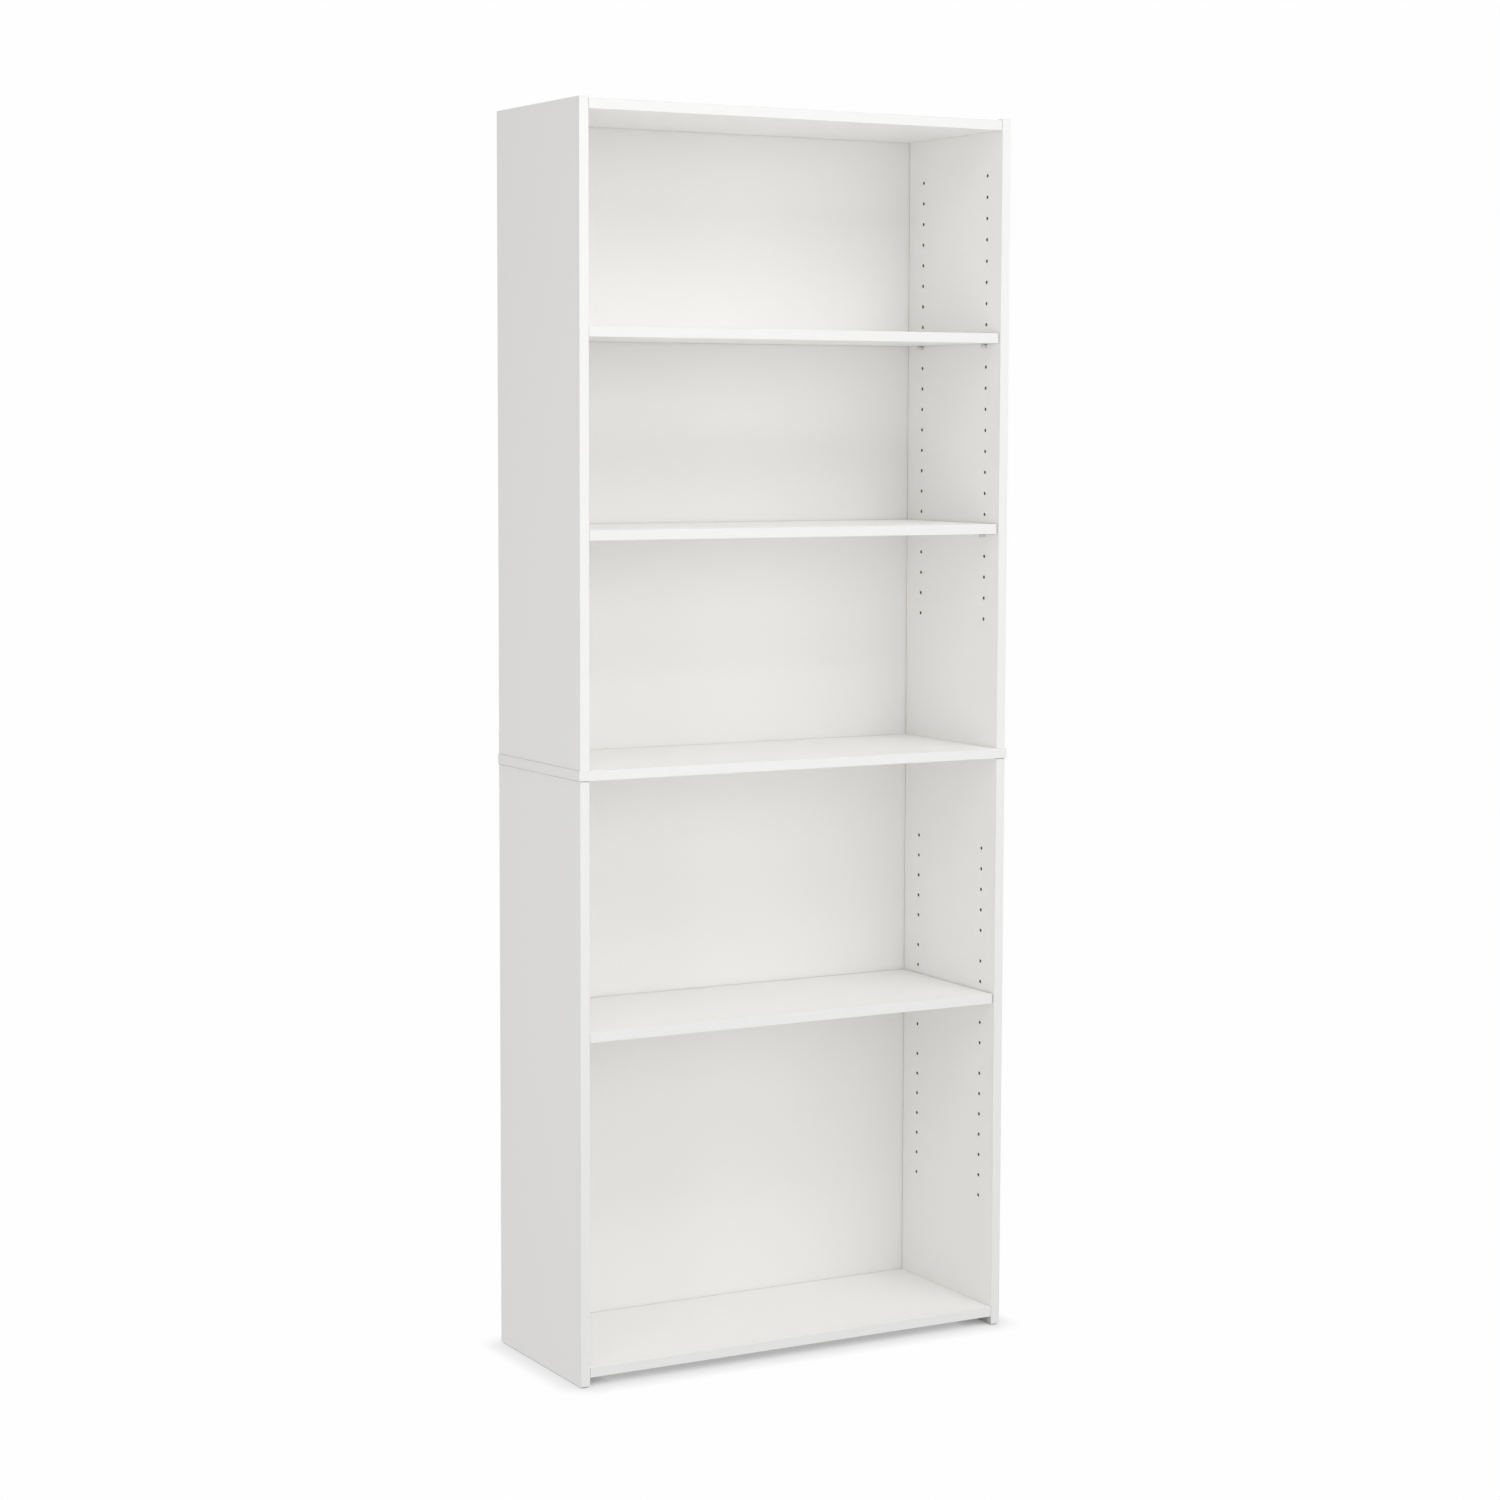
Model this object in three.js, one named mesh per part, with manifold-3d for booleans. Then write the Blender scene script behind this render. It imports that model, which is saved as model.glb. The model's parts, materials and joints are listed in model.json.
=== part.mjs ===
// Two-part bookcase in white laminated board: lower case, fixed middle shelf, upper case, and three
// adjustable shelves on pins. Millimetres, +Z up, front facing -Y, origin on the floor under the
// middle of the bounding box.
import * as THREE from 'three';
import { mergeVertices } from 'three/addons/utils/BufferGeometryUtils.js';
import Module from 'manifold-3d';

const wasm = await Module();
wasm.setup();

// ---- Driving dimensions ----------------------------------------------------------------------

const HEIGHT = 1850;             // floor to the tops of the upper ends
const WIDTH = 722;               // across the outsides of the ends
const DEPTH = 276;               // front to rear edges of the ends
const BOARD = 15;                // every panel but the backs
const OVERHANG = 2;              // middle shelf beyond the ends, at the sides and the front
const MIDDLE_UNDERSIDE = 885;
const TOP_DROP = 2;              // tops of the ends down to the top panel
const BOTTOM_UNDERSIDE = 14.5;
const JOINT = 0.3;               // hairline between boards drawn together

const BACK = 3;                  // hardboard
const BACK_SETBACK = 8.5;        // back's rear face to the rear edges
const GROOVE_DEPTH = 5;
const BACK_ENGAGED = 4;          // edge of a back inside its groove
const BACK_PLAY = 0.9;           // back's front face to the groove's front wall

const PITCH = 32;                // between pin holes
const HOLE = 5.2;
const HOLE_DEPTH = 10.5;
const FRONT_COLUMN = 40;         // front edge to the front column of holes
const REAR_COLUMN = 222;         // front edge to the rear column
const UPPER_FIRST = 1768;        // highest hole in the upper case
const UPPER_HOLES = 22;
const LOWER_FIRST = 742;         // highest hole in the lower case
const LOWER_GROUPS = [5, 5, 7];  // holes in each group, from the top
const GROUP_STEP = 1.5;          // pitches from one group to the next

const SHELF_END_GAP = 1.5;
const SHELF_FRONT_GAP = 3;
const SHELF_BACK_GAP = 1.5;
const REST_GAP = 0.3;            // shelf to the pins it comes down on

const PIN = { shank: 4.9, inside: 9.5, head: 6, outside: 8, chamfer: 0.6 };
const GLIDE = { across: 12, high: 2, nail: 1.6, nailLength: 12, inset: 34 };
const CAM = { across: 15, sides: 16, thick: 12, fromEnd: 34, slot: 7, insets: { front: 48, rear: 196 } };
const DRIVER = { wide: 1.6, long: 9, deep: 1.5 };   // cross recess in a cam
const BOLT = { thread: 6.4, threadLength: 10.5, collar: 7, collarLength: 2, stem: 5, neck: 3.2, head: 6 };
const DOWEL = { across: 8, long: 55, chamfer: 1, insets: { front: 60, rear: 210 } };
const PLATE = { wide: 12, high: 90, thick: 1.6, fromOutside: 6.5 };
const SCREW = { shank: 3, head: 6.4, headHeight: 1.3, long: 14, point: 3, heights: [-33, -17, 17, 33] };
const CLEARANCE = 0.3;           // round a fastener in its bore

// ---- Places worked out from them -------------------------------------------------------------

const FRONT = OVERHANG - (OVERHANG + DEPTH + PLATE.thick) / 2;
const REAR = FRONT + DEPTH;
const OUTSIDE = WIDTH / 2;
const INSIDE = OUTSIDE - BOARD;
const END_MIDDLE = OUTSIDE - BOARD / 2;
const MIDDLE_TOP = MIDDLE_UNDERSIDE + BOARD;
const MIDDLE_CENTRE = MIDDLE_UNDERSIDE + BOARD / 2;
const TOP_UPPER = HEIGHT - TOP_DROP;
const TOP_UNDERSIDE = TOP_UPPER - BOARD;
const BOTTOM_TOP = BOTTOM_UNDERSIDE + BOARD;
const BACK_FRONT = REAR - BACK_SETBACK - BACK;
const GROOVE_FRONT = BACK_FRONT - BACK_PLAY;
const GROOVE_REAR = BACK_FRONT + BACK + JOINT;
const SIDES = { left: -1, right: 1 };
const COLUMNS = { front: FRONT + FRONT_COLUMN, rear: FRONT + REAR_COLUMN };

const upperHoles = Array.from({ length: UPPER_HOLES }, (_, row) => UPPER_FIRST - row * PITCH);

const lowerHoles = [];
let groupTop = LOWER_FIRST;
for (const count of LOWER_GROUPS) {
  for (let row = 0; row < count; row += 1) lowerHoles.push(groupTop - row * PITCH);
  groupTop = lowerHoles.at(-1) - GROUP_STEP * PITCH;
}

// The row of holes that each adjustable shelf is pegged in.
const SHELF_ROWS = { high: upperHoles[8], mid: upperHoles[17], low: lowerHoles[7] };

// ---- Materials -------------------------------------------------------------------------------

function finish(color, roughness, metalness) {
  return () => new THREE.MeshStandardMaterial({ color, roughness, metalness });
}
const laminate = finish(0xeeedea, 0.5, 0);
const hardboard = finish(0xe6e4e0, 0.6, 0);
const beech = finish(0xcaa878, 0.75, 0);
const nickel = finish(0xb9bbbd, 0.35, 0.9);
const zinc = finish(0x9fa3a6, 0.45, 0.8);
const nylon = finish(0xd9d9d4, 0.55, 0);

// ---- Shapes ----------------------------------------------------------------------------------

const AIMS = {
  right: new THREE.Vector3(1, 0, 0),
  left: new THREE.Vector3(-1, 0, 0),
  forwards: new THREE.Vector3(0, -1, 0),
  up: new THREE.Vector3(0, 0, 1),
  down: new THREE.Vector3(0, 0, -1),
};
const ALONG = new THREE.Vector3(0, 1, 0);

// A box from its lowest to its highest corner.
function block(low, high) {
  const size = high.map((value, axis) => value - low[axis]);
  const middle = high.map((value, axis) => (value + low[axis]) / 2);
  return new THREE.BoxGeometry(...size).translate(...middle);
}

// A turned piece from its outline, a list of [distance along the aim, width across flats], which
// starts and ends at zero width. One flat faces up, or to the front on an upright piece.
function turned(outline, start, aim, sides = 8) {
  const toCorner = 0.5 / Math.cos(Math.PI / sides);
  const points = outline.map(([along, across]) => new THREE.Vector2(across * toCorner, along));
  const turn = new THREE.Quaternion().setFromUnitVectors(ALONG, AIMS[aim]);
  return new THREE.LatheGeometry(points, sides)
    .rotateY(Math.PI / sides)
    .applyQuaternion(turn)
    .translate(...start);
}

// A plain round bore or bar, from a start point, so far behind it and so far ahead of it.
function round(across, start, aim, behind, ahead, sides = 8) {
  const outline = [[-behind, 0], [-behind, across], [ahead, across], [ahead, 0]];
  return turned(outline, start, aim, sides);
}

function toSolid(geometry) {
  const bare = geometry.clone();
  bare.deleteAttribute('normal');
  bare.deleteAttribute('uv');
  const merged = mergeVertices(bare, 1e-4);
  const corners = merged.index.array;
  const kept = [];
  for (let i = 0; i < corners.length; i += 3) {
    const [a, b, c] = corners.slice(i, i + 3);
    if (a !== b && b !== c && c !== a) kept.push(a, b, c);
  }
  return new wasm.Manifold(new wasm.Mesh({
    numProp: 3,
    vertProperties: new Float32Array(merged.attributes.position.array),
    triVerts: new Uint32Array(kept),
  }));
}

function toGeometry(solid) {
  const mesh = solid.getMesh();
  const geometry = new THREE.BufferGeometry();
  geometry.setAttribute('position', new THREE.BufferAttribute(new Float32Array(mesh.vertProperties), 3));
  geometry.setIndex(new THREE.BufferAttribute(new Uint32Array(mesh.triVerts), 1));
  geometry.computeVertexNormals();
  return geometry;
}

function cut(body, tools) {
  return toGeometry(tools.reduce((solid, tool) => solid.subtract(toSolid(tool)), toSolid(body)));
}

const bookcase = new THREE.Group();

function add(name, geometry, material) {
  const mesh = new THREE.Mesh(geometry, material());
  mesh.name = name;
  bookcase.add(mesh);
}

// ---- Bores for the fasteners -----------------------------------------------------------------

const inward = { left: 'right', right: 'left' };
const camRows = {
  top: { axis: TOP_UPPER - BOARD / 2, face: TOP_UPPER, up: 1, inner: 'down' },
  bottom: { axis: BOTTOM_UNDERSIDE + BOARD / 2, face: BOTTOM_UNDERSIDE, up: -1, inner: 'up' },
};
const glidePlaces = { front: FRONT + GLIDE.inset, rear: REAR - GLIDE.inset };

function pinHoles(side, rows) {
  const x = SIDES[side] * INSIDE;
  return Object.values(COLUMNS).flatMap((y) => (
    rows.map((z) => round(HOLE, [x, y, z], side, 1, HOLE_DEPTH))
  ));
}

function boltPilots(side, row) {
  const across = BOLT.thread + 2 * CLEARANCE;
  return Object.values(CAM.insets).map((inset) => (
    round(across, [SIDES[side] * INSIDE, FRONT + inset, row.axis], side,
      1, BOLT.threadLength + CLEARANCE)
  ));
}

function dowelBores(side) {
  const reach = DOWEL.long / 2 + CLEARANCE;
  return Object.values(DOWEL.insets).map((inset) => (
    round(DOWEL.across + 2 * CLEARANCE, [SIDES[side] * END_MIDDLE, FRONT + inset, MIDDLE_CENTRE],
      'up', reach, reach)
  ));
}

function screwBores(side) {
  const rim = SCREW.head + 2 * CLEARANCE;
  const shank = SCREW.shank + 2 * CLEARANCE;
  const tip = SCREW.long + CLEARANCE;
  const outline = [[-1, 0], [-1, rim], [0, rim], [SCREW.headHeight, shank], [tip, shank], [tip, 0]];
  return SCREW.heights.map((height) => (
    turned(outline, [SIDES[side] * (OUTSIDE - PLATE.fromOutside), REAR + PLATE.thick,
      MIDDLE_CENTRE + height], 'forwards')
  ));
}

// Two distances from the middle plane, as a lowest and a highest x on one side of it.
function span(side, near, far) {
  return [SIDES[side] * near, SIDES[side] * far].sort((a, b) => a - b);
}

function backGroove(low, high) {
  return block([low[0], GROOVE_FRONT, low[1]], [high[0], GROOVE_REAR, high[1]]);
}

// ---- Ends ------------------------------------------------------------------------------------

function end(side, from, to, bores) {
  const [low, high] = span(side, INSIDE, OUTSIDE);
  const [grooveLow, grooveHigh] = span(side, INSIDE - 1, INSIDE + GROOVE_DEPTH);
  const groove = backGroove([grooveLow, from - 1], [grooveHigh, to + 1]);
  const panel = block([low, FRONT, from], [high, REAR, to]);
  return cut(panel, [groove, ...bores, ...dowelBores(side), ...screwBores(side)]);
}

for (const side of Object.keys(SIDES)) {
  const glideBores = Object.values(glidePlaces).map((y) => (
    round(GLIDE.nail + 2 * CLEARANCE, [SIDES[side] * END_MIDDLE, y, GLIDE.high], 'up',
      1, GLIDE.nailLength + CLEARANCE)
  ));
  add(`upper_end_${side}`, end(side, MIDDLE_TOP + JOINT, HEIGHT, [
    ...pinHoles(side, upperHoles),
    ...boltPilots(side, camRows.top),
  ]), laminate);
  add(`lower_end_${side}`, end(side, GLIDE.high, MIDDLE_UNDERSIDE - JOINT, [
    ...pinHoles(side, lowerHoles),
    ...boltPilots(side, camRows.bottom),
    ...glideBores,
  ]), laminate);
}

// ---- Fixed panels ----------------------------------------------------------------------------

// The bolt's bore in from the panel's end, and the pocket that its cam turns in.
function camBores(row) {
  const panelEnd = INSIDE - JOINT;
  return Object.keys(SIDES).flatMap((side) => Object.values(CAM.insets).flatMap((inset) => {
    const y = FRONT + inset;
    const pocket = [SIDES[side] * (panelEnd - CAM.fromEnd), y, row.face];
    const depth = CAM.thick + 2 * CLEARANCE;
    return [
      round(BOLT.collar + 4 * CLEARANCE, [SIDES[side] * panelEnd, y, row.axis], inward[side],
        1, CAM.fromEnd),
      round(CAM.across + 2 * CLEARANCE, pocket, row.inner, 1, depth, CAM.sides),
    ];
  }));
}

function board(halfLength, front, underside) {
  return block([-halfLength, front, underside], [halfLength, REAR, underside + BOARD]);
}

const fixedHalf = INSIDE - JOINT;
add('top_panel', cut(board(fixedHalf, FRONT, TOP_UNDERSIDE), [
  backGroove([-fixedHalf - 1, TOP_UNDERSIDE - 1], [fixedHalf + 1, TOP_UNDERSIDE + GROOVE_DEPTH]),
  ...camBores(camRows.top),
]), laminate);
add('bottom_panel', cut(board(fixedHalf, FRONT, BOTTOM_UNDERSIDE), [
  backGroove([-fixedHalf - 1, BOTTOM_TOP - GROOVE_DEPTH], [fixedHalf + 1, BOTTOM_TOP + 1]),
  ...camBores(camRows.bottom),
]), laminate);

const middleGroove = INSIDE + GROOVE_DEPTH;
add('middle_shelf', cut(board(OUTSIDE + OVERHANG, FRONT - OVERHANG, MIDDLE_UNDERSIDE), [
  backGroove([-middleGroove, MIDDLE_TOP - GROOVE_DEPTH], [middleGroove, MIDDLE_TOP + 1]),
  backGroove([-middleGroove, MIDDLE_UNDERSIDE - 1], [middleGroove, MIDDLE_UNDERSIDE + GROOVE_DEPTH]),
  ...dowelBores('left'),
  ...dowelBores('right'),
]), laminate);

function back(from, to) {
  const half = INSIDE + BACK_ENGAGED;
  return block([-half, BACK_FRONT, from - BACK_ENGAGED], [half, BACK_FRONT + BACK, to + BACK_ENGAGED]);
}
add('upper_back', back(MIDDLE_TOP, TOP_UNDERSIDE), hardboard);
add('lower_back', back(BOTTOM_TOP, MIDDLE_UNDERSIDE), hardboard);

// ---- Adjustable shelves and their pins -------------------------------------------------------

const pinOutline = [
  [-PIN.inside, 0], [-PIN.inside, PIN.shank], [JOINT, PIN.shank], [JOINT, PIN.head],
  [PIN.outside - PIN.chamfer, PIN.head], [PIN.outside, PIN.head - PIN.chamfer], [PIN.outside, 0],
];

for (const [level, row] of Object.entries(SHELF_ROWS)) {
  const half = INSIDE - SHELF_END_GAP;
  const underside = row + PIN.head / 2 + REST_GAP;
  add(`adjustable_shelf_${level}`, block(
    [-half, FRONT + SHELF_FRONT_GAP, underside],
    [half, BACK_FRONT - SHELF_BACK_GAP, underside + BOARD],
  ), laminate);
  for (const side of Object.keys(SIDES)) {
    for (const [column, y] of Object.entries(COLUMNS)) {
      const pin = turned(pinOutline, [SIDES[side] * INSIDE, y, row], inward[side]);
      add(`shelf_pin_${level}_${side}_${column}`, pin, nickel);
    }
  }
}

// ---- Fasteners of the top and bottom panels --------------------------------------------------

const camAxis = CAM.fromEnd + JOINT;
const boltOutline = [
  [-BOLT.threadLength, 0], [-BOLT.threadLength, BOLT.thread], [0, BOLT.thread], [0, BOLT.collar],
  [BOLT.collarLength, BOLT.collar], [BOLT.collarLength, BOLT.stem], [camAxis - 5, BOLT.stem],
  [camAxis - 5, BOLT.neck], [camAxis - 2.5, BOLT.neck], [camAxis - 2.5, BOLT.head],
  [camAxis + 0.5, BOLT.head], [camAxis + 0.5, 0],
];

function cam(side, y, row) {
  const fromMiddle = INSIDE - camAxis;
  const x = SIDES[side] * fromMiddle;
  const face = row.face - row.up * CLEARANCE;
  const disc = round(CAM.across, [x, y, face], row.inner, 0, CAM.thick, CAM.sides);
  const [mouthLow, mouthHigh] = span(side, fromMiddle - 1.5, fromMiddle + CAM.across);
  const slot = block([mouthLow, y - CAM.slot / 2, row.axis - CAM.slot / 2],
    [mouthHigh, y + CAM.slot / 2, row.axis + CAM.slot / 2]);
  const arms = [[DRIVER.long, DRIVER.wide], [DRIVER.wide, DRIVER.long]].map(([alongX, alongY]) => (
    block([x - alongX / 2, y - alongY / 2, face - DRIVER.deep],
      [x + alongX / 2, y + alongY / 2, face + DRIVER.deep])
  ));
  return cut(disc, [slot, ...arms]);
}

for (const [panel, row] of Object.entries(camRows)) {
  for (const side of Object.keys(SIDES)) {
    for (const [place, inset] of Object.entries(CAM.insets)) {
      const y = FRONT + inset;
      const bolt = turned(boltOutline, [SIDES[side] * INSIDE, y, row.axis], inward[side]);
      add(`cam_bolt_${panel}_${side}_${place}`, bolt, zinc);
      add(`cam_lock_${panel}_${side}_${place}`, cam(side, y, row), zinc);
    }
  }
}

// ---- What joins the two cases, and what the bookcase stands on -------------------------------

const dowelEnd = DOWEL.across - 2 * DOWEL.chamfer;
const dowelOutline = [
  [0, 0], [0, dowelEnd], [DOWEL.chamfer, DOWEL.across],
  [DOWEL.long - DOWEL.chamfer, DOWEL.across], [DOWEL.long, dowelEnd], [DOWEL.long, 0],
];
const glideOutline = [
  [0, 0], [0, GLIDE.across - 1.5], [0.75, GLIDE.across], [GLIDE.high, GLIDE.across],
  [GLIDE.high, GLIDE.nail], [GLIDE.high + GLIDE.nailLength - 2, GLIDE.nail],
  [GLIDE.high + GLIDE.nailLength, 0],
];
const screwOutline = [
  [0, 0], [0, SCREW.head], [SCREW.headHeight, SCREW.shank],
  [SCREW.long - SCREW.point, SCREW.shank], [SCREW.long, 0],
];

for (const side of Object.keys(SIDES)) {
  for (const [place, inset] of Object.entries(DOWEL.insets)) {
    const foot = [SIDES[side] * END_MIDDLE, FRONT + inset, MIDDLE_CENTRE - DOWEL.long / 2];
    add(`dowel_${side}_${place}`, turned(dowelOutline, foot, 'up'), beech);
  }
  for (const [place, y] of Object.entries(glidePlaces)) {
    add(`glide_${side}_${place}`, turned(glideOutline, [SIDES[side] * END_MIDDLE, y, 0], 'up'), nylon);
  }
  const plateMiddle = SIDES[side] * (OUTSIDE - PLATE.fromOutside);
  add(`joining_plate_${side}`, cut(block(
    [plateMiddle - PLATE.wide / 2, REAR, MIDDLE_CENTRE - PLATE.high / 2],
    [plateMiddle + PLATE.wide / 2, REAR + PLATE.thick, MIDDLE_CENTRE + PLATE.high / 2],
  ), screwBores(side)), zinc);
  SCREW.heights.forEach((height, index) => {
    const head = [plateMiddle, REAR + PLATE.thick, MIDDLE_CENTRE + height];
    add(`plate_screw_${side}_${index + 1}`, turned(screwOutline, head, 'forwards'), zinc);
  });
}

export default bookcase;
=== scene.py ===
"""Looks of the two-part white bookcase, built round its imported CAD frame. Metres, +Z up."""

import json
import math

import bmesh
import bpy
from mathutils import Matrix, Vector


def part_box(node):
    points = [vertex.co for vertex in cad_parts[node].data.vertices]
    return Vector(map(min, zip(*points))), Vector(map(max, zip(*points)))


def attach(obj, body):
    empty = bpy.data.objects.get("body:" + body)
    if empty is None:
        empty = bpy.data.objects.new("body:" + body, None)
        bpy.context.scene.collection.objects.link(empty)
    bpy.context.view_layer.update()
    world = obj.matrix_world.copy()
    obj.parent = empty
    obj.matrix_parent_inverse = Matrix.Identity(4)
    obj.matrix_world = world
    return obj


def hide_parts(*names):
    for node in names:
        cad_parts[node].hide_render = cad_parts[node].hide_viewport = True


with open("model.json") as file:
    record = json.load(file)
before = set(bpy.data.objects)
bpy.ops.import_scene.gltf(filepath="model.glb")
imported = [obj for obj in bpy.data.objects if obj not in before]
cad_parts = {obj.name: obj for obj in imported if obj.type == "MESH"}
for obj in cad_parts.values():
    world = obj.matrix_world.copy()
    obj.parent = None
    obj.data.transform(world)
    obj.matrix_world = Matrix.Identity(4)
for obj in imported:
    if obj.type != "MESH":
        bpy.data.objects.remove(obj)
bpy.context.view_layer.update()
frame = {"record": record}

MM = 0.001
SIDES = {"left": -1, "right": 1}
PLACES = ("front", "rear")
LEVELS = ("high", "mid", "low")
CORNERS = [(side, place_name) for side in SIDES for place_name in PLACES]
PLATE_SCREWS = range(1, 5)
SCREW_TURN = math.radians(23)  # from one screw's cross to the next

# ---- Sizes that the frame doesn't hold ---------------------------------------------------------

BAND = 0.8 * MM  # edge banding
BAND_ROUND = 0.7 * MM
ARRIS = 0.2 * MM  # bevel of a board's own edges
SETTLED = 0.2 * MM  # the upper ends, on the middle shelf
SHADOW_GAP = 0.4 * MM  # between the middle shelf and the lower ends
GLUE_LINE = 0.03 * MM

PITCH = 32 * MM
PIN_HOLE_RADIUS = 2.5 * MM
PIN_HOLE_DEPTH = 10.5 * MM
PIN_HOLE_TIP = 1.2 * MM  # the drill's point
PIN_HOLE_RIM = 0.12 * MM  # how far the drill has opened each mouth
UPPER_ROWS_ABOVE_HIGH_PIN = 8
UPPER_ROWS = 22
LOWER_GROUPS = (5, 5, 7)
GROUP_STEP = 1.5  # pitches between groups
LOWER_ROW_OF_LOW_PIN = 7

GROOVE_DEPTH = 5 * MM
BACK_PLAY = 0.75 * MM  # in front of a back in its groove
BACK_ARRIS = 0.2 * MM
CLEARANCE = 0.3 * MM

# Radii of the fasteners' bores.
BOLT_BORE = 3.5 * MM  # a cam bolt's thread, in an end
SHAFT_BORE = 4 * MM  # a cam bolt's shaft, in a panel
DOWEL_BORE = 4.1 * MM
NAIL_BORE = 1 * MM  # a glide's nail
SCREW_BORE = 1.7 * MM


def box(node):
    """The low and high corners of a CAD node's box."""
    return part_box(node)


def middle(node):
    low, high = box(node)
    return (low + high) / 2


BODY_OF = {
    node: body
    for body, nodes in frame["record"]["behaviour"]["bodies"].items()
    for node in nodes
}

# ---- Node materials ----------------------------------------------------------------------------


class Nodes:
    """A material under construction: a Principled BSDF and the texture nodes that feed it."""

    def __init__(self, name):
        self.material = bpy.data.materials.new(name)
        self.material.use_nodes = True
        self.tree = self.material.node_tree
        self.surface = self.tree.nodes["Principled BSDF"]
        self.place = self.add("ShaderNodeTexCoord").outputs["Object"]

    def add(self, kind, inputs=None, **settings):
        node = self.tree.nodes.new(kind)
        for name, value in settings.items():
            setattr(node, name, value)
        for socket, value in (inputs or {}).items():
            self.feed(node.inputs[socket], value)
        return node

    def feed(self, socket, value):
        if isinstance(value, bpy.types.NodeSocket):
            self.tree.links.new(value, socket)
        else:
            socket.default_value = value

    def stretched(self, scale):
        inputs = {"Vector": self.place, "Scale": scale}
        return self.add("ShaderNodeMapping", inputs).outputs["Vector"]

    def noise(self, scale, detail=3.0, roughness=0.5, vector=None):
        inputs = {"Scale": scale, "Detail": detail, "Roughness": roughness}
        inputs["Vector"] = vector or self.place
        return self.add("ShaderNodeTexNoise", inputs).outputs["Fac"]

    def ramp(self, factor, stops):
        node = self.add("ShaderNodeValToRGB", {"Fac": factor})
        elements = node.color_ramp.elements
        while len(elements) < len(stops):
            elements.new(0.5)
        for element, (position, colour) in zip(elements, stops):
            element.position = position
            grey = not isinstance(colour, tuple)
            element.color = (colour, colour, colour, 1) if grey else (*colour, 1)
        return node.outputs["Color"]

    def spread(self, factor, low, high):
        """A factor of 0 to 1, mapped to low to high."""
        inputs = {"Value": factor, "To Min": low, "To Max": high}
        return self.add("ShaderNodeMapRange", inputs).outputs["Result"]

    def mixed(self, factor, first, second):
        """Two colours mixed. A Mix node's colour sockets go by number, as their names are shared."""
        inputs = {0: factor, 6: first, 7: second}
        return self.add("ShaderNodeMix", inputs, data_type="RGBA").outputs[2]

    def worn(self, colour, worn_colour, share):
        """Lightens or darkens the sharp edges, as handling does."""
        pointiness = self.add("ShaderNodeNewGeometry").outputs["Pointiness"]
        edge = self.ramp(pointiness, [(0.5, 0.0), (0.56, share)])
        return self.mixed(edge, colour, worn_colour)

    def bump(self, height, strength, distance):
        inputs = {"Height": height, "Strength": strength, "Distance": distance}
        return self.add("ShaderNodeBump", inputs).outputs["Normal"]

    def finish(self, colour, roughness, normal=None, **constants):
        self.feed(self.surface.inputs["Base Color"], colour)
        self.feed(self.surface.inputs["Roughness"], roughness)
        if normal is not None:
            self.feed(self.surface.inputs["Normal"], normal)
        for name, value in constants.items():
            self.surface.inputs[name.replace("_", " ")].default_value = value
        return self.material


def make_laminate(name, light, dark):
    """Melamine-faced board: satin, faintly mottled, with a fine orange peel in its gloss."""
    n = Nodes(name)
    cloud = n.noise(3.5, 4.0, 0.6)
    fibre = n.noise(900, 2.0, 0.6)
    colour = n.mixed(n.spread(cloud, 0.25, 0.75), (*dark, 1), (*light, 1))
    colour = n.mixed(n.spread(fibre, 0.0, 0.06), colour, (0.62, 0.6, 0.57, 1))
    smudge = n.noise(11, 5.0, 0.65)
    peel = n.noise(1500, 2.0, 0.5)
    return n.finish(
        n.worn(colour, (0.93, 0.925, 0.915, 1), 0.35),
        n.spread(smudge, 0.42, 0.56),
        n.bump(peel, 0.05, 0.05 * MM),
        Specular_IOR_Level=0.45,
    )


def make_band(name, light, dark):
    """PVC edge banding: a touch smoother than the faces, with the faint lines of its scraper."""
    n = Nodes(name)
    cloud = n.noise(9, 3.0)
    scrape = n.noise(60, 2.0, vector=n.stretched((1, 40, 40)))
    colour = n.mixed(n.spread(cloud, 0.2, 0.8), (*dark, 1), (*light, 1))
    return n.finish(
        n.worn(colour, (0.88, 0.88, 0.875, 1), 0.4),
        n.spread(scrape, 0.34, 0.46),
        n.bump(scrape, 0.04, 0.05 * MM),
    )


def make_chipboard(name, pore_share, shade):
    """Raw particleboard: flattened chips in several browns, with dark pores between them.
    Its shade argument darkens it: partly the burnishing of a cut, partly painted shade, for the inside
    of a bore."""
    n = Nodes(name)
    chips = n.add("ShaderNodeTexVoronoi", {"Vector": n.place, "Scale": 620.0, "Randomness": 1.0})
    browns = [
        (0.0, (0.33, 0.21, 0.11)),
        (0.35, (0.5, 0.35, 0.2)),
        (0.7, (0.62, 0.46, 0.28)),
        (1.0, (0.72, 0.58, 0.4)),
    ]
    tone = n.ramp(chips.outputs["Color"], browns)
    pores = n.ramp(n.noise(1400, 3.0, 0.7), [(pore_share - 0.06, 0.0), (pore_share + 0.06, 1.0)])
    # Painted shade and burnishing: the chips darkened towards near-black.
    burnished_and_shaded = n.mixed(shade, tone, (0.09, 0.07, 0.055, 1))
    colour = n.mixed(pores, (0.19, 0.12, 0.065, 1), burnished_and_shaded)
    return n.finish(colour, 0.85, n.bump(pores, 0.6, 0.3 * MM))


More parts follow.
